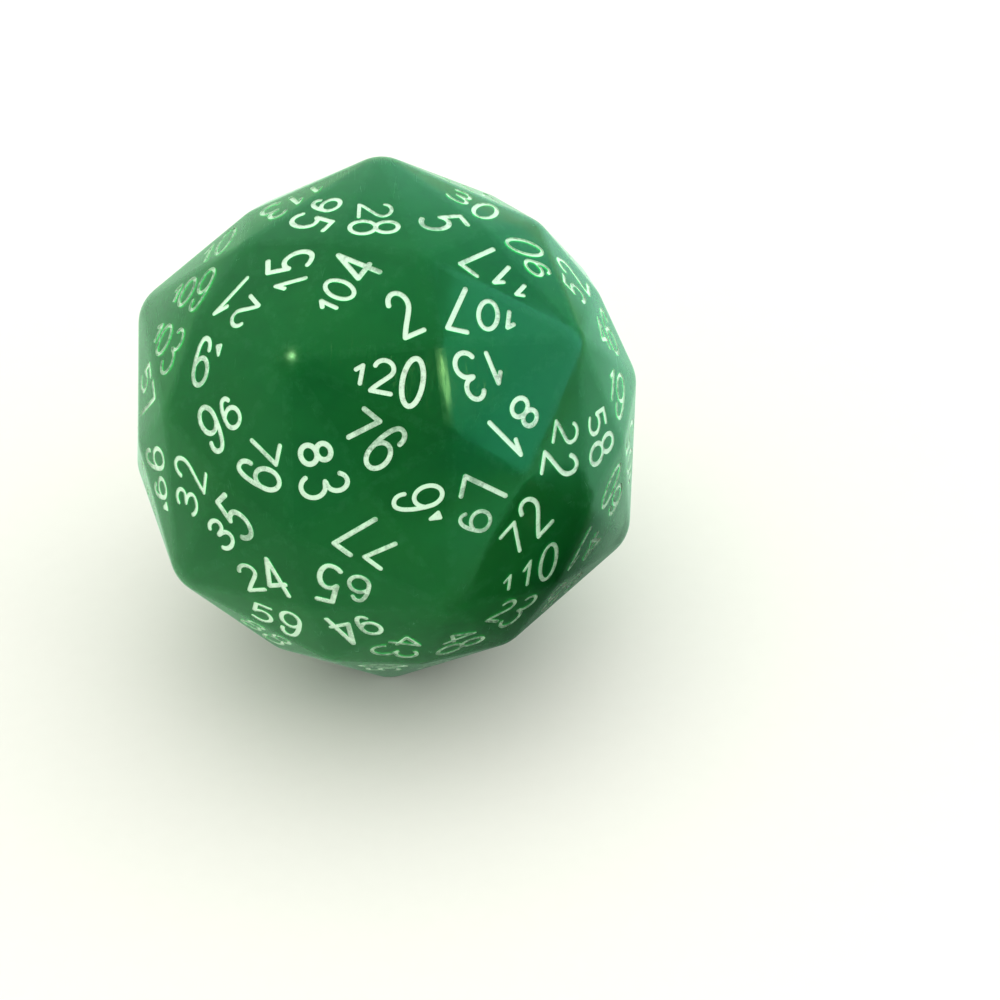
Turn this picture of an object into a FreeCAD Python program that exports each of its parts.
import FreeCAD, Part
import os, math
from FreeCAD import Vector

os.makedirs("parts", exist_ok=True)

# One-hundred-and-twenty-sided die (disdyakis triacontahedron).
#
# One solid body with rounded edges and corners.  A number is engraved in each of
# the 120 flat triangles, and every engraved stroke is filled with white paint that
# stays a little below the face, more on some numbers.  Millimetres, +Z up, origin
# at the centre of the die.  TOP_NUMBER lies square to +Z and reads towards -Y.

# ---- Body ------------------------------------------------------------------
ACROSS_FACES = 46.0        # between two opposite flat faces
IN_RADIUS = ACROSS_FACES / 2.0
EDGE_ROUND = 4.0           # radius of every rounded edge and corner
SHRINK = (IN_RADIUS - EDGE_ROUND) / IN_RADIUS   # size of the sharp core inside the rounding
GOLDEN = (1.0 + math.sqrt(5.0)) / 2.0

# ---- Engraving and paint ---------------------------------------------------
POCKET_DEPTH = 0.40        # depth of the engraving below the face
PAINT_RECESS = 0.06        # least depth of the paint below the face on a well filled number
PAINT_STEP = 0.005         # step in which well filled numbers vary
STROKE = 0.455             # usual width of an engraved stroke
EDGE_CLEAR = 0.04          # least distance from a stroke to the rim of its flat
FIT_PASSES = 12            # rounds of pulling a digit in from the rim
OUTLINE_SAMPLES = 160      # points tested on a digit outline
CURVE_TOL = 0.002          # how closely a spline follows a drawn curve

# ---- Digit sizes and places ------------------------------------------------
# Places count from the last digit.  Tables by place hold one entry for each.
UNITS, TENS, HUNDREDS = range(3)
ONE_WIDTH = (1.08, 1.00, 0.94)             # outer width of a one
DIGIT_WIDTH = (2.27, 2.20, ONE_WIDTH[HUNDREDS])
DIGIT_HEIGHT = (4.76, 3.27, 2.02)
# Digit centres along the number (x) and across it (y), from the face's centroid.
DIGIT_X = (1.82, -0.88, -2.82)
ONE_X = (2.02, -0.56)                      # the same for a one
TENS_BEFORE_ONE = 0.22                     # tens digit moves towards a last digit one
HUNDREDS_BEFORE_ONE = 0.18                 # leading one moves towards a tens digit one
UNITS_Y = -0.28                            # changes sign where the six-fold corner lies below
DIGIT_Y_ABOVE = (UNITS_Y, -0.13, 0.00)     # six-fold corner above the number
DIGIT_Y_BELOW = (-UNITS_Y, 0.18, 0.08)     # six-fold corner below the number

# Wedge-shaped mark on 6, 66, 9 and 99.
DOT_WIDTH, DOT_HEIGHT, DOT_ROUND = 0.92, 1.20, 0.17
DOT_FROM_UNITS = (-2.02, -0.95)            # from the digit centre on 6 and 9
DOT_FROM_TENS = (-1.72, -0.50)             # from the tens centre on 66 and 99

# The numbers were cut by hand in the mould, so some sit off their usual place:
# number: (along, across) shift of the last digit, the digit before it, the leading one.
OFF_PLACE = {
    2: ((0.03, -0.05),), 5: ((-0.05, 0.13),), 6: ((-0.41, -0.21),), 9: ((0.01, -0.14),),
    13: ((0.21, -0.07), (-0.03, -0.16)), 15: ((0.25, 0.07), (-0.07, -0.15)),
    21: ((0.01, -0.19), (0.06, 0.0)), 22: ((0.22, 0.09), (0.07, 0.11)),
    24: ((-0.07, -0.11), (-0.05, -0.49)), 28: ((-0.05, -0.01), (0.12, -0.35)),
    32: ((0.12, -0.22), (0.01, -0.18)), 35: ((0.18, 0.06), (0.1, 0.0)),
    58: ((0.2, -0.07), (0.18, 0.12)), 59: ((0.08, -0.43), (0.02, -0.14)),
    65: ((-0.04, 0.09), (-0.06, -0.02)), 67: ((0.01, -0.03), (-0.19, -0.04)),
    72: ((-0.04, -0.23), (-0.08, -0.21)), 76: ((0.27, 0.02), (0.25, -0.08)),
    77: ((-0.27, 0.14), (-0.53, 0.04)), 79: ((-0.09, 0.19), (0.0, 0.36)),
    81: ((0.03, -0.17), (0.0, -0.11)), 83: ((0.32, 0.07), (0.08, 0.15)),
    94: ((0.08, 0.34), (0.22, 0.16)), 95: ((-0.14, 0.04), (-0.21, -0.24)),
    96: ((-0.16, -0.06), (-0.17, 0.03)),
    104: ((0.11, 0.05), (0.11, 0.07), (-0.03, 0.1)),
    107: ((0.13, 0.06), (0.18, 0.0), (-0.04, 0.04)),
    110: ((0.18, -0.09), (-0.04, -0.37), (-0.22, -0.46)),
    117: ((0.22, 0.08), (-0.13, -0.12), (-0.2, -0.18)),
    120: ((-0.06, -0.14), (0.0, -0.08), (-0.21, -0.09)),
}

TOP_NUMBER = 28            # face that looks straight up

# Number on each face, in the order of the sorted face normals before the die is
# turned.  Opposite faces add up to 121; the four, six or ten faces round a corner
# add up to 242, 363 or 605.
NUMBERS = [
    67, 72, 81, 22, 6, 110, 13, 58, 76, 41, 120, 60, 77, 23, 107, 19,
    83, 68, 2, 105, 65, 48, 117, 46, 94, 43, 90, 52, 79, 39, 104, 87,
    24, 101, 5, 70, 59, 50, 35, 84, 28, 36, 30, 74, 96, 111, 15, 64,
    88, 29, 32, 8, 9, 12, 21, 18, 95, 55, 114, 3, 118, 7, 66, 26,
    103, 100, 109, 112, 113, 89, 92, 33, 57, 106, 10, 25, 47, 91, 85,
    93, 37, 86, 71, 62, 51, 116, 20, 97, 34, 17, 82, 42, 69, 31, 78,
    27, 75, 4, 73, 56, 16, 119, 53, 38, 102, 14, 98, 44, 61, 1, 80,
    45, 63, 108, 11, 115, 99, 40, 49, 54,
]

# Stroke width as a share of STROKE: by place and digit (1 where not listed), and
# for single numbers (last digit first), which go before the first table.
CUT_BY_DIGIT = (
    {"0": 1.04, "2": 1.03, "4": 1.10, "5": 1.12, "6": 0.97, "7": 1.04, "9": 1.02},
    {"0": 0.95, "1": 0.95, "2": 0.92, "3": 0.94, "4": 0.96, "5": 0.95, "6": 0.95,
     "7": 0.94, "9": 0.97},
    {"1": 0.92},
)
CUT_BY_NUMBER = {
    5: (1.10,), 6: (0.90,), 9: (1.04,), 10: (0.82, 0.86), 15: (1.13, 0.96),
    19: (0.86, 0.92), 22: (1.02, 0.82), 23: (0.84, 0.86), 28: (0.96, 0.76),
    30: (0.96, 0.84), 32: (0.94, 0.86), 35: (1.17, 0.98), 37: (0.90, 1.00),
    41: (0.84, 0.96), 43: (0.80, 0.86), 46: (0.92, 0.88), 48: (0.90, 0.86),
    58: (1.02, 0.95), 60: (0.88, 0.90), 61: (0.86, 0.92), 65: (1.10, 0.88),
    67: (1.00, 0.80), 72: (1.00, 0.88), 76: (0.98, 1.02), 83: (0.97, 1.08),
    88: (0.92, 0.84), 90: (0.82, 0.80), 96: (1.06, 0.97),
    103: (0.78, 0.80, 0.88), 104: (1.10, 0.92, 0.93), 109: (0.80, 0.86, 0.90),
    110: (0.92, 0.84, 0.80), 114: (1.08, 0.88, 0.86), 120: (1.04, 0.92, 0.86),
}

# Depth of the paint below the face on badly filled numbers.
LOW_FILL = {
    10: 0.20, 12: 0.11, 19: 0.12, 22: 0.09, 23: 0.20, 27: 0.13, 30: 0.11, 37: 0.12,
    41: 0.20, 43: 0.17, 44: 0.11, 46: 0.12, 48: 0.18, 51: 0.12, 57: 0.09, 60: 0.13,
    65: 0.09, 67: 0.10, 70: 0.13, 72: 0.10, 85: 0.14, 88: 0.12, 90: 0.15, 93: 0.10,
    99: 0.12, 103: 0.20, 109: 0.22, 110: 0.13, 113: 0.17, 114: 0.15, 118: 0.16,
}


# ---- Vector helpers on plain tuples ----------------------------------------
def add(first, second):
    return tuple(p + q for p, q in zip(first, second))


def sub(first, second):
    return tuple(p - q for p, q in zip(first, second))


def mul(vector, factor):
    return tuple(p * factor for p in vector)


def dot(first, second):
    return sum(p * q for p, q in zip(first, second))


def cross(first, second):
    return (first[1] * second[2] - first[2] * second[1],
            first[2] * second[0] - first[0] * second[2],
            first[0] * second[1] - first[1] * second[0])


def cross_flat(first, second):
    return first[0] * second[1] - first[1] * second[0]


def norm(vector):
    return math.sqrt(dot(vector, vector))


def unit(vector):
    return mul(vector, 1.0 / norm(vector))


def mean(first, second, third):
    return mul(add(add(first, second), third), 1.0 / 3.0)


def frame_matrix(x, y, z, origin):
    """Placement that takes the main axes to x, y and z at the origin given."""
    return FreeCAD.Matrix(x[0], y[0], z[0], origin[0],
                          x[1], y[1], z[1], origin[1],
                          x[2], y[2], z[2], origin[2], 0, 0, 0, 1)


# ---- Polyhedron ------------------------------------------------------------
def face_normals():
    """The 120 sorted normals: cyclic shifts and all signs of five directions."""
    base = [(1 / GOLDEN, 1 / GOLDEN, 3 + GOLDEN),
            (2 / GOLDEN, GOLDEN, 1 + 2 * GOLDEN),
            (1 / GOLDEN, GOLDEN ** 2, -1 + 3 * GOLDEN),
            (2 * GOLDEN - 1, 2, 2 + GOLDEN),
            (GOLDEN, 3, 2 * GOLDEN)]
    found = set()
    for x, y, z in base:
        for shifted in ((x, y, z), (y, z, x), (z, x, y)):
            for sx in (1, -1):
                for sy in (1, -1):
                    for sz in (1, -1):
                        signed = (shifted[0] * sx, shifted[1] * sy, shifted[2] * sz)
                        found.add(tuple(round(q, 12) for q in signed))
    return [unit(n) for n in sorted(found)]


def corner_axes():
    """Candidate corner directions, in every order of the coordinates."""
    found = set()
    for s in (1, -1):
        for t in (1, -1):
            for u in (1, -1):
                for base in ((0.0, s * 1.0, t * GOLDEN),
                             (0.0, s * GOLDEN, t / GOLDEN),
                             (s * 1.0, 0.0, 0.0),
                             (s * 1.0, t * 1.0, u * 1.0),
                             (s * 1.0, t * GOLDEN, u * GOLDEN * GOLDEN)):
                    for i in range(3):
                        x, y, z = base[i], base[(i + 1) % 3], base[(i + 2) % 3]
                        for axis in ((x, y, z), (y, x, z)):
                            # adding zero turns -0.0 into 0.0
                            found.add(tuple(round(q, 10) + 0.0 for q in unit(axis)))
    return [unit(axis) for axis in sorted(found)]


def reading_axis(ten, six, four):
    """From the ten-fold corner to the middle of the side opposite."""
    return unit(sub(mul(add(six, four), 0.5), ten))


def build_polyhedron():
    """Normals, corners and faces, turned to bring TOP_NUMBER up.  A face is its
    (ten-fold, six-fold, four-fold) corner indices."""
    normals = face_normals()
    corners, folds = [], []
    for axis in corner_axes():
        heights = [dot(n, axis) for n in normals]
        highest = max(heights)
        fold = sum(1 for q in heights if highest - q < 1e-6)
        if fold in (4, 6, 10):
            corners.append(mul(axis, IN_RADIUS / highest))
            folds.append(fold)
    faces = []
    for n in normals:
        touching = [i for i, p in enumerate(corners) if abs(dot(p, n) - IN_RADIUS) < 1e-5]
        faces.append(tuple(sorted(touching, key=lambda i: -folds[i])))

    top = NUMBERS.index(TOP_NUMBER)
    z = normals[top]
    y = mul(reading_axis(*(corners[i] for i in faces[top])), -1.0)
    x = cross(y, z)

    def turned(p):
        return (dot(p, x), dot(p, y), dot(p, z))

    return [turned(n) for n in normals], [turned(p) for p in corners], faces


NORMALS, CORNERS, FACES = build_polyhedron()


def face_frame(f):
    """Centroid, reading direction, up direction and normal of face f."""
    points = [CORNERS[i] for i in FACES[f]]
    x = reading_axis(*points)
    return mean(*points), x, cross(NORMALS[f], x), NORMALS[f]


# ---- Point chains ----------------------------------------------------------
def arc_points(centre, rx, ry, start, end, steps):
    """Part of an ellipse, angles in degrees."""
    out = []
    for i in range(steps + 1):
        angle = math.radians(start + (end - start) * i / steps)
        out.append((centre[0] + rx * math.cos(angle), centre[1] + ry * math.sin(angle)))
    return out


def bezier_points(p0, p1, p2, p3, steps=32):
    out = []
    for i in range(steps + 1):
        t = i / steps
        weights = ((1 - t) ** 3, 3 * t * (1 - t) ** 2, 3 * t * t * (1 - t), t ** 3)
        out.append(tuple(dot(weights, (p0[k], p1[k], p2[k], p3[k])) for k in (0, 1)))
    return out


def chain(*runs):
    """Runs joined end to start, each shared point kept once."""
    out = list(runs[0])
    for run in runs[1:]:
        out += run[1:]
    return out


def start_tangent(points):
    if len(points) > 3:      # second-order on curves
        near, far = sub(points[1], points[0]), sub(points[2], points[0])
        return unit(sub(mul(near, 2.0), mul(far, 0.5)))
    return unit(sub(points[1], points[0]))


def end_tangent(points):
    return mul(start_tangent(points[::-1]), -1.0)


def tangents(points):
    inner = [unit(add(unit(sub(here, before)), unit(sub(following, here))))
             for before, here, following in zip(points, points[1:], points[2:])]
    return [start_tangent(points)] + inner + [end_tangent(points)]


def offset(points, side, half):
    """Chain moved sideways by half; side +1 is the left of the travel direction."""
    return [(p[0] - side * half * t[1], p[1] + side * half * t[0])
            for p, t in zip(points, tangents(points))]


def meet(first, second):
    """Crossing nearest the end of the first chain: (point, index in each chain)."""
    for i in range(len(first) - 2, -1, -1):
        for j in range(len(second) - 1):
            run1, run2 = sub(first[i + 1], first[i]), sub(second[j + 1], second[j])
            area = cross_flat(run1, run2)
            if abs(area) < 1e-14:
                continue
            gap = sub(second[j], first[i])
            t = cross_flat(gap, run2) / area
            u = cross_flat(gap, run1) / area
            if -1e-9 <= t <= 1 + 1e-9 and -1e-9 <= u <= 1 + 1e-9:
                return add(first[i], mul(run1, t)), i, j
    raise RuntimeError("outline parts do not cross")


def cut_after(points, i, end):
    """Chain up to index i, then the end point."""
    out = points[:i + 1]
    if norm(sub(out[-1], end)) < 1e-6:
        out = out[:-1]
    return out + [end]


def cut_before(points, i, start):
    """The start point, then the chain after index i."""
    out = points[i + 1:]
    if norm(sub(out[0], start)) < 1e-6:
        out = out[1:]
    return [start] + out


# ---- Edges and wires in the XY plane ---------------------------------------
def flat_vector(p):
    return Vector(p[0], p[1], 0.0)


def line_edge(start, end):
    return Part.LineSegment(flat_vector(start), flat_vector(end)).toShape()


def curve_edge(points):
    """A line, or one smooth spline that follows the chain."""
    start, end = points[0], points[-1]
    chord = sub(end, start)
    length = norm(chord)
    if length > 1e-9:
        bow = max(abs(cross_flat(sub(p, start), chord)) for p in points) / length
        if bow < 1e-5:
            return line_edge(start, end)
    curve = Part.BSplineCurve()
    curve.approximate(Points=[flat_vector(p) for p in points], DegMin=3, DegMax=5,
                      Tolerance=CURVE_TOL, Continuity="C2", ParamType="ChordLength")
    return curve.toShape()


def arc_edge(centre, start, end, bulge, radius):
    """Arc about the centre from start to end, passing on the bulge side."""
    middle = add(centre, mul(unit(bulge), radius))
    return Part.Arc(flat_vector(start), flat_vector(middle), flat_vector(end)).toShape()


def halves(points, middle):
    """The chain as two curve edges that share the middle point."""
    return [curve_edge(points[:middle + 1]), curve_edge(points[middle:])]


def stroke_wire(spans, half):
    """Outline of one open stroke made of smooth spans that meet at corners."""
    left = [offset(span, 1, half) for span in spans]
    right = [offset(span, -1, half) for span in spans]
    starts = [start_tangent(span) for span in spans]
    ends = [end_tangent(span) for span in spans]
    last = len(spans) - 1
    joins = []               # (turns left, corner, bulge of the outer round)
    for k in range(last):
        turns_left = cross_flat(ends[k], starts[k + 1]) > 0
        inner = left if turns_left else right
        point, i, j = meet(inner[k], inner[k + 1])
        inner[k] = cut_after(inner[k], i, point)
        inner[k + 1] = cut_before(inner[k + 1], j, point)
        joins.append((turns_left, spans[k][-1], sub(ends[k], starts[k + 1])))
    edges = []
    for k in range(last + 1):
        edges.append(curve_edge(right[k]))
        if k < last and joins[k][0]:
            edges.append(arc_edge(joins[k][1], right[k][-1], right[k + 1][0],
                                  joins[k][2], half))
    edges.append(arc_edge(spans[-1][-1], right[-1][-1], left[-1][-1], ends[-1], half))
    for k in range(last, -1, -1):
        edges.append(curve_edge(left[k][::-1]))
        if k > 0 and not joins[k - 1][0]:
            edges.append(arc_edge(joins[k - 1][1], left[k][0], left[k - 1][-1],
                                  joins[k - 1][2], half))
    edges.append(arc_edge(spans[0][0], left[0][0], right[0][0], mul(starts[0], -1.0), half))
    return Part.Wire(edges)


def ring_points(centre, rx, ry, reach, steps=96):
    """Ellipse moved outwards by reach, closed, from its lowest point, anticlockwise."""
    out = []
    for i in range(steps + 1):
        angle = math.radians(-90.0 + 360.0 * i / steps)
        cosine, sine = math.cos(angle), math.sin(angle)
        outward = unit((ry * cosine, rx * sine))
        out.append((centre[0] + rx * cosine + reach * outward[0],
                    centre[1] + ry * sine + reach * outward[1]))
    out[-1] = out[0]
    return out


def ring_wire(centre, rx, ry, reach):
    points = ring_points(centre, rx, ry, reach)
    return Part.Wire(halves(points, len(points) // 2))


# ---- Digits ----------------------------------------------------------------
# A digit is a thin centre line thickened to the stroke width with round ends.  The
# centre line is drawn in shares of its own box: (0, 0) lower left, (1, 1) upper
# right.  Each digit function returns (outer wire, [inner wires]) centred on the box.
class Pen:
    """Centre-line box and half stroke width of one digit."""

    def __init__(self, width, height, half, large):
        self.half = half
        self.width = width - 2.0 * half
        self.height = height - 2.0 * half
        self.large = large

    def point(self, x, y):
        return ((x - 0.5) * self.width, (y - 0.5) * self.height)

    def line(self, start, end):
        return [self.point(*start), self.point(*end)]

    def arc(self, x, y, rx, ry, start, end, steps=48):
        return arc_points(self.point(x, y), rx * self.width, ry * self.height,
                          start, end, steps)

    def bezier(self, *controls):
        return bezier_points(*(self.point(*p) for p in controls))

    def stroke(self, *spans):
        return stroke_wire(spans, self.half)


def zero(pen):
    ring = ((0, 0), pen.width / 2, pen.height / 2)
    return ring_wire(*ring, pen.half), [ring_wire(*ring, -pen.half)]


def one(pen):
    return pen.stroke(pen.line((0, 0.71), (1, 1)), pen.line((1, 1), (1, 0))), []


def two(pen):
    top = pen.arc(0.49, 0.735, 0.47, 0.265, 168, -22)
    follow = add(top[-1], mul(end_tangent(top), 0.16 * pen.height))
    leg = bezier_points(top[-1], follow, pen.point(0.26, 0.24), pen.point(0.0, 0.0))
    return pen.stroke(chain(top, leg), pen.line((0, 0), (1.0, 0.0))), []


def three(pen):
    waist = pen.point(0.33, 0.535)
    upper = pen.arc(0.46, 0.778, 0.43, 0.222, 152, -84)
    lower = pen.arc(0.46, 0.259, 0.54, 0.259, 84, -154)
    return pen.stroke(upper + [waist], [waist] + lower), []


def four(pen):
    half = pen.half
    foot, apex = pen.point(0.84, 0.0), pen.point(0.72, 1.0)
    bar_left, bar_right = pen.point(0.0, 0.30), pen.point(1.0, 0.30)
    stem, slope, bar = [foot, apex], [apex, bar_left], [bar_left, bar_right]
    stem_left, stem_right = offset(stem, 1, half), offset(stem, -1, half)
    slope_in, slope_out = offset(slope, 1, half), offset(slope, -1, half)
    bar_top, bar_under = offset(bar, 1, half), offset(bar, -1, half)
    under_left, under_right = meet(stem_left, bar_under)[0], meet(stem_right, bar_under)[0]
    top_left, top_right = meet(stem_left, bar_top)[0], meet(stem_right, bar_top)[0]
    hole_top, hole_left = meet(stem_left, slope_in)[0], meet(slope_in, bar_top)[0]
    stem_way, slope_way, bar_way = (start_tangent(run) for run in (stem, slope, bar))
    outer = Part.Wire([
        line_edge(stem_right[0], under_right),
        line_edge(under_right, bar_under[1]),
        arc_edge(bar_right, bar_under[1], bar_top[1], bar_way, half),
        line_edge(bar_top[1], top_right),
        line_edge(top_right, stem_right[1]),
        arc_edge(apex, stem_right[1], slope_out[0], sub(stem_way, slope_way), half),
        line_edge(slope_out[0], slope_out[1]),
        arc_edge(bar_left, slope_out[1], bar_under[0], sub(slope_way, bar_way), half),
        line_edge(bar_under[0], under_left),
        line_edge(under_left, stem_left[0]),
        arc_edge(foot, stem_left[0], stem_right[0], mul(stem_way, -1.0), half),
    ])
    inner = Part.Wire([line_edge(top_left, hole_top), line_edge(hole_top, hole_left),
                       line_edge(hole_left, top_left)])
    return outer, [inner]


def five(pen):
    bowl = chain(pen.bezier((0.07, 0.53), (0.20, 0.61), (0.36, 0.63), (0.50, 0.63)),
                 pen.arc(0.50, 0.315, 0.50, 0.315, 90, -90),
                 pen.bezier((0.50, 0.0), (0.32, 0.0), (0.14, 0.03), (0.0, 0.10)))
    return pen.stroke(pen.line((0.95, 1), (0.17, 1)),
                      pen.line((0.17, 1), (0.07, 0.53)), bowl), []


def six(pen):
    # the stem ends in a hook: a full one on the large digit, a short one on the small
    if pen.large:
        loop = 0.58          # height of the loop
        hook = pen.bezier((0.93, 0.745), (1.0, 0.89), (0.82, 1.0), (0.56, 1.0))
        stem = pen.bezier((0.56, 1.0), (0.22, 1.0), (0.0, 0.66), (0.0, loop / 2))
    else:
        loop = 0.64
        hook = pen.bezier((0.72, 0.875), (0.65, 0.97), (0.55, 1.0), (0.44, 1.0))
        stem = pen.bezier((0.44, 1.0), (0.16, 1.0), (0.0, 0.70), (0.0, loop / 2))
    body = chain(hook, stem, pen.arc(0.5, loop / 2, 0.5, loop / 2, 180, 450, 120),
                 pen.bezier((0.5, loop), (0.30, loop), (0.12, loop * 0.90),
                            (-0.02, loop * 0.66)))
    left, right = offset(body, 1, pen.half), offset(body, -1, pen.half)
    third = len(body) // 3
    tail = len(body) - 2 * third      # where the last two thirds begin

    # the loop's outer side runs into the stem
    notch, i, j = meet(right[tail:], left[:third])
    outside = cut_after(right, i + tail, notch)
    stem_inside = cut_after(left, j, notch)
    outer = Part.Wire(halves(outside, len(outside) // 2) + [
        curve_edge(stem_inside[::-1]),
        arc_edge(body[0], left[0], right[0], mul(start_tangent(body), -1.0), pen.half)])

    # the loop's inner side closes on the stem
    closing, i, j = meet(left[tail:], left[:third])
    hole = cut_before(left, j, closing)[:i + tail - j] + [closing]
    return outer, [Part.Wire(halves(hole, len(hole) // 2))]


def seven(pen):
    return pen.stroke(pen.line((0, 0.985), (1, 1)), pen.line((1, 1), (0.33, 0))), []


def eight(pen):
    waist = 0.535
    upper = (pen.point(0.5, (1 + waist) / 2), 0.43 * pen.width, (1 - waist) / 2 * pen.height)
    lower = (pen.point(0.5, waist / 2), 0.5 * pen.width, waist / 2 * pen.height)
    # right halves of the two outer rings, cut where they cross, then mirrored
    upper_half = ring_points(*upper, pen.half, 192)[:97]
    lower_half = ring_points(*lower, pen.half, 192)[:97]
    crossing, i, j = meet(lower_half, upper_half)
    right_low = cut_after(lower_half, i, crossing)
    right_up = cut_before(upper_half, j, crossing)
    middle = upper[0][0]

    def mirrored(points):
        return [(2 * middle - q[0], q[1]) for q in points][::-1]

    runs = (right_low, right_up, mirrored(right_up), mirrored(right_low))
    outer = Part.Wire([curve_edge(run) for run in runs])
    return outer, [ring_wire(*upper, -pen.half), ring_wire(*lower, -pen.half)]


def nine(pen):
    outer, inners = six(pen)
    for wire in [outer] + inners:
        wire.rotate(Vector(0, 0, 0), Vector(0, 0, 1), 180)
    return outer, inners


DIGITS = (zero, one, two, three, four, five, six, seven, eight, nine)


def dot_wire():
    """Rounded wedge, wide at the foot and narrow at the top."""
    w, h = DOT_WIDTH / 2 - DOT_ROUND, DOT_HEIGHT / 2 - DOT_ROUND
    centres = [(-0.85 * w, -h), (w, -0.88 * h), (-0.30 * w, h)]
    outward = []
    for k in range(3):
        along = unit(sub(centres[(k + 1) % 3], centres[k]))
        outward.append(mul((along[1], -along[0]), DOT_ROUND))
    edges = []
    for k in range(3):
        here, following = centres[k], centres[(k + 1) % 3]
        out, next_out = outward[k], outward[(k + 1) % 3]
        edges.append(line_edge(add(here, out), add(following, out)))
        edges.append(arc_edge(following, add(following, out), add(following, next_out),
                              add(out, next_out), DOT_ROUND))
    return Part.Wire(edges)


def cut_share(number, char, place):
    """Stroke width of one digit of a number, as a share of STROKE."""
    own = CUT_BY_NUMBER.get(number, ())
    if char != "." and place < len(own):
        return own[place]
    return CUT_BY_DIGIT[place].get(char, 1.0)


glyph_cache = {}


def glyph(char, place, share):
    """(outer wire, inner wires, points on the outer wire) of a digit or the dot."""
    key = (char, place, share)
    if key not in glyph_cache:
        if char == ".":
            outer, inners = dot_wire(), []
        else:
            width = ONE_WIDTH[place] if char == "1" else DIGIT_WIDTH[place]
            pen = Pen(width, DIGIT_HEIGHT[place], 0.5 * STROKE * share, place == UNITS)
            outer, inners = DIGITS[int(char)](pen)
        points = [(p.x, p.y) for p in outer.discretize(Number=OUTLINE_SAMPLES)]
        glyph_cache[key] = (outer, inners, points)
    return glyph_cache[key]


def layout(number, six_above):
    """[(character, place, x, y)] on a face; six_above tells that the six-fold
    corner lies above the number."""
    text = str(number)[::-1]           # last digit first
    heights = DIGIT_Y_ABOVE if six_above else DIGIT_Y_BELOW
    out = []
    for place, char in enumerate(text):
        after_one = place > UNITS and text[place - 1] == "1"
        if place == HUNDREDS:
            x = DIGIT_X[place] + (HUNDREDS_BEFORE_ONE if after_one else 0.0)
        elif char == "1":
            x = ONE_X[place]
        else:
            x = DIGIT_X[place] + (TENS_BEFORE_ONE if after_one else 0.0)
        out.append((char, place, x, heights[place]))
    for k, (along, across) in enumerate(OFF_PLACE.get(number, ())):
        char, place, x, y = out[k]
        out[k] = (char, place, x + along, y + across)
    if number in (6, 9):
        x, y = add(out[UNITS][2:], DOT_FROM_UNITS)
        out.append((".", UNITS, x, y))
    if number in (66, 99):
        x, y = add(out[TENS][2:], DOT_FROM_TENS)
        out.append((".", TENS, x, y))
    return out


# ---- Rounded skin ----------------------------------------------------------
# The skin is that of a smaller die grown outwards by EDGE_ROUND: flat triangles, a
# strip of cylinder along each of the 180 edges and a piece of sphere on each of the
# 62 corners, all tangent to each other.
def skin_point(corner, f):
    return Vector(*add(mul(CORNERS[corner], SHRINK), mul(NORMALS[f], EDGE_ROUND)))


def flat_wire(f):
    points = [skin_point(i, f) for i in FACES[f]]
    return Part.makePolygon(points + [points[0]])


def edge_strip(i, j, f, g):
    """Cylinder strip between corners i and j, from face f round to face g."""
    base = Vector(*mul(CORNERS[i], SHRINK))
    axis = unit(sub(CORNERS[j], CORNERS[i]))
    angle = math.degrees(math.acos(max(-1.0, min(1.0, dot(NORMALS[f], NORMALS[g])))))
    if dot(cross(NORMALS[f], NORMALS[g]), axis) < 0:
        axis = mul(axis, -1.0)
    line = Part.LineSegment(skin_point(i, f), skin_point(j, f)).toShape()
    return line.revolve(base, Vector(*axis), angle).Faces[0]


def corner_cap(i):
    """Piece of sphere on corner i, cut out by a pyramid through the face normals."""
    outward = unit(CORNERS[i])
    around = [NORMALS[f] for f in range(120) if i in FACES[f]]
    side = unit(sub(around[0], mul(outward, dot(around[0], outward))))
    side2 = cross(outward, side)
    around.sort(key=lambda n: math.atan2(dot(n, side2), dot(n, side)))
    # local frame with the corner on -X, clear of the sphere's poles and seam
    x, y = mul(outward, -1.0), side
    z = cross(x, y)
    far = []
    for n in around:
        p = mul(n, 2 * EDGE_ROUND)
        far.append(Vector(dot(p, x), dot(p, y), dot(p, z)))
    centre = Vector(0, 0, 0)
    sides = [Part.Face(Part.makePolygon([centre, far[k], far[(k + 1) % len(far)], centre]))
             for k in range(len(far))]
    sides.append(Part.Face(Part.makePolygon(far + [far[0]])))
    wedge = Part.Solid(Part.makeShell(sides))
    if wedge.Volume < 0:
        wedge.reverse()
    ball = Part.Sphere()
    ball.Radius = EDGE_ROUND
    cap = ball.toShape().common(wedge).Faces[0]
    cap.transformShape(frame_matrix(x, y, z, mul(CORNERS[i], SHRINK)))
    return cap


def round_skin():
    """All edge strips, then all corner caps."""
    sharing = {}             # corner pair: the two faces on that edge
    for f, (ten, six_fold, four_fold) in enumerate(FACES):
        for i, j in ((ten, six_fold), (six_fold, four_fold), (four_fold, ten)):
            sharing.setdefault((min(i, j), max(i, j)), []).append(f)
    strips = [edge_strip(i, j, *pair) for (i, j), pair in sorted(sharing.items())]
    return strips + [corner_cap(i) for i in range(len(CORNERS))]


# ---- Engraved faces --------------------------------------------------------
def flat_sides(f):
    """(corner, inward direction) of each side of flat f, in the face's own plane."""
    centroid, x, y, _ = face_frame(f)
    rim = []
    for i in FACES[f]:
        from_centroid = sub(tuple(skin_point(i, f)), centroid)
        rim.append((dot(from_centroid, x), dot(from_centroid, y)))
    middle = mean(*rim)
    sides = []
    for k in range(3):
        along = unit(sub(rim[(k + 1) % 3], rim[k]))
        inward = (-along[1], along[0])
        if dot(sub(middle, rim[k]), inward) <= 0:
            inward = mul(inward, -1.0)
        sides.append((rim[k], inward))
    return sides


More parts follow.
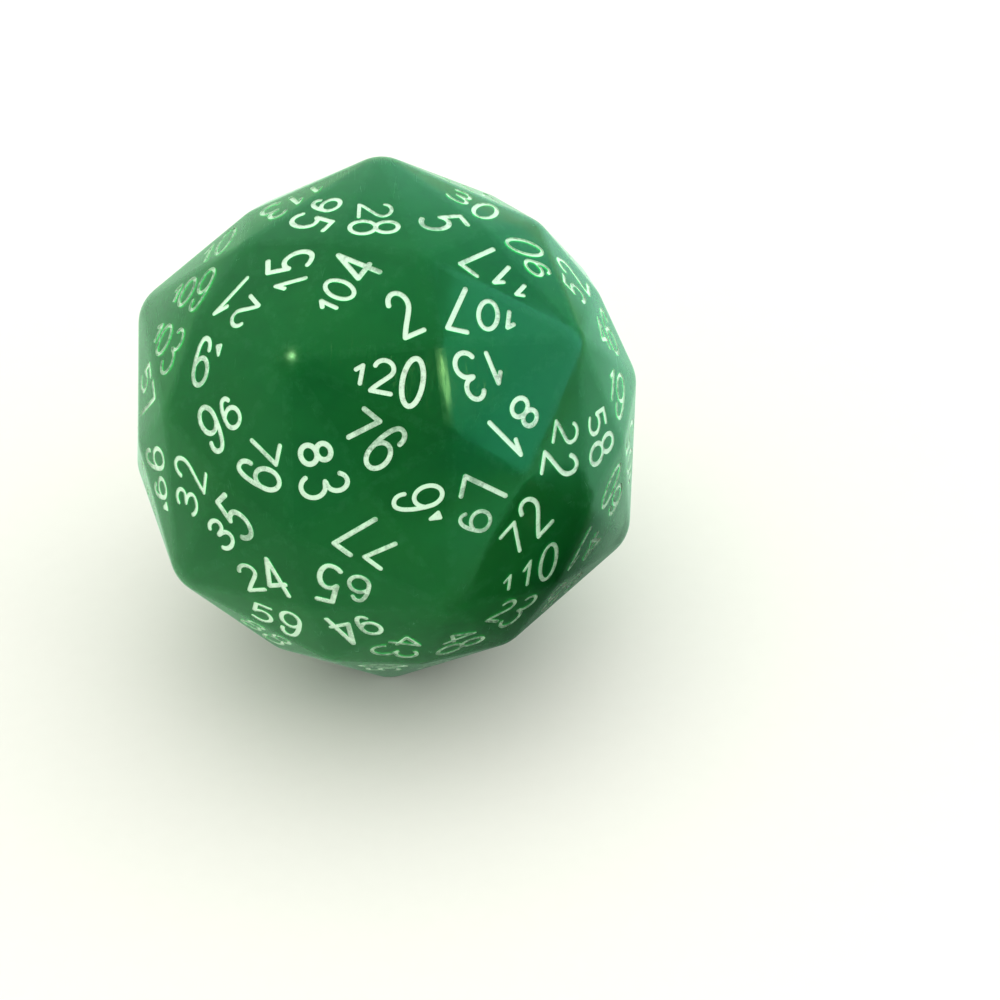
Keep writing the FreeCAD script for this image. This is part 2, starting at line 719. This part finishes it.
def kept_inside(sides, points, dx, dy):
    """Digit centre pulled in where its outline points would come nearer than
    EDGE_CLEAR to a side of the flat."""
    def clearance(corner, inward):
        return min((p[0] + dx - corner[0]) * inward[0] + (p[1] + dy - corner[1]) * inward[1]
                   for p in points)

    for _ in range(FIT_PASSES):
        for corner, inward in sides:
            lack = EDGE_CLEAR - clearance(corner, inward)
            if lack > 0:
                dx, dy = dx + lack * inward[0], dy + lack * inward[1]
    if min(clearance(*side) for side in sides) < 0.5 * EDGE_CLEAR:
        raise RuntimeError("a digit does not fit its flat")
    return dx, dy


def placed(wire, f, dx, dy):
    """Copy of a flat wire laid on face f."""
    centroid, x, y, normal = face_frame(f)
    origin = add(add(centroid, mul(x, dx)), mul(y, dy))
    copy = wire.copy()
    copy.transformShape(frame_matrix(x, y, normal, origin))
    return copy


def engraved_face(f):
    """Flat triangle with its number sunk in, as loose faces, and the paint solids."""
    number = NUMBERS[f]
    centroid, _, y, normal = face_frame(f)
    up = Vector(*normal)
    six_above = dot(sub(CORNERS[FACES[f][1]], centroid), y) > 0
    recess = LOW_FILL.get(number, PAINT_RECESS + PAINT_STEP * (number * 7 % 5))
    sides = flat_sides(f)
    loose, wires, paint = [], [], []
    for char, place, dx, dy in layout(number, six_above):
        outer, inners, points = glyph(char, place, cut_share(number, char, place))
        dx, dy = kept_inside(sides, points, dx, dy)
        outlines = [placed(wire, f, dx, dy) for wire in [outer] + inners]
        wires += outlines
        floor = Part.makeFace(outlines, "Part::FaceMakerBullseye").Faces[0]
        floor.translate(up * -POCKET_DEPTH)
        loose.append(floor)
        for wire in outlines:
            loose += wire.extrude(up * -POCKET_DEPTH).Faces
        fill = floor.copy().extrude(up * (POCKET_DEPTH - recess))
        paint.append(fill.Solids[0])
    loose += Part.makeFace([flat_wire(f)] + wires, "Part::FaceMakerBullseye").Faces
    return loose, paint


# ---- Pieces ----------------------------------------------------------------
def build():
    """The engraved body, and the paint solids by number."""
    loose, paint = round_skin(), {}
    for f in range(120):
        faces, fills = engraved_face(f)
        loose += faces
        paint[NUMBERS[f]] = fills
    skin = Part.makeCompound(loose)
    skin.sewShape()
    if len(skin.Shells) != 1 or not skin.Shells[0].isClosed():
        raise RuntimeError("the skin did not close: %d shells" % len(skin.Shells))
    body = Part.Solid(skin.Shells[0])
    if body.Volume < 0:
        body.reverse()
    return body, paint


def number_groups():
    """The 120 numbers in 30 groups: the four faces round each four-fold corner."""
    by_corner = {}
    for f, face in enumerate(FACES):
        by_corner.setdefault(face[2], []).append(NUMBERS[f])
    return sorted(sorted(group) for group in by_corner.values())


def export_paint(group, paint):
    """One file with the paint of the numbers in a group."""
    solids = [solid for number in group for solid in paint[number]]
    for solid in solids:
        if solid.Volume < 0:
            solid.reverse()
    name = "numbers_" + "_".join("%03d" % number for number in group)
    Part.makeCompound(solids).exportStep("parts/%s.step" % name)


die, paint = build()
die.exportStep("parts/die_body.step")
for group in number_groups():
    export_paint(group, paint)
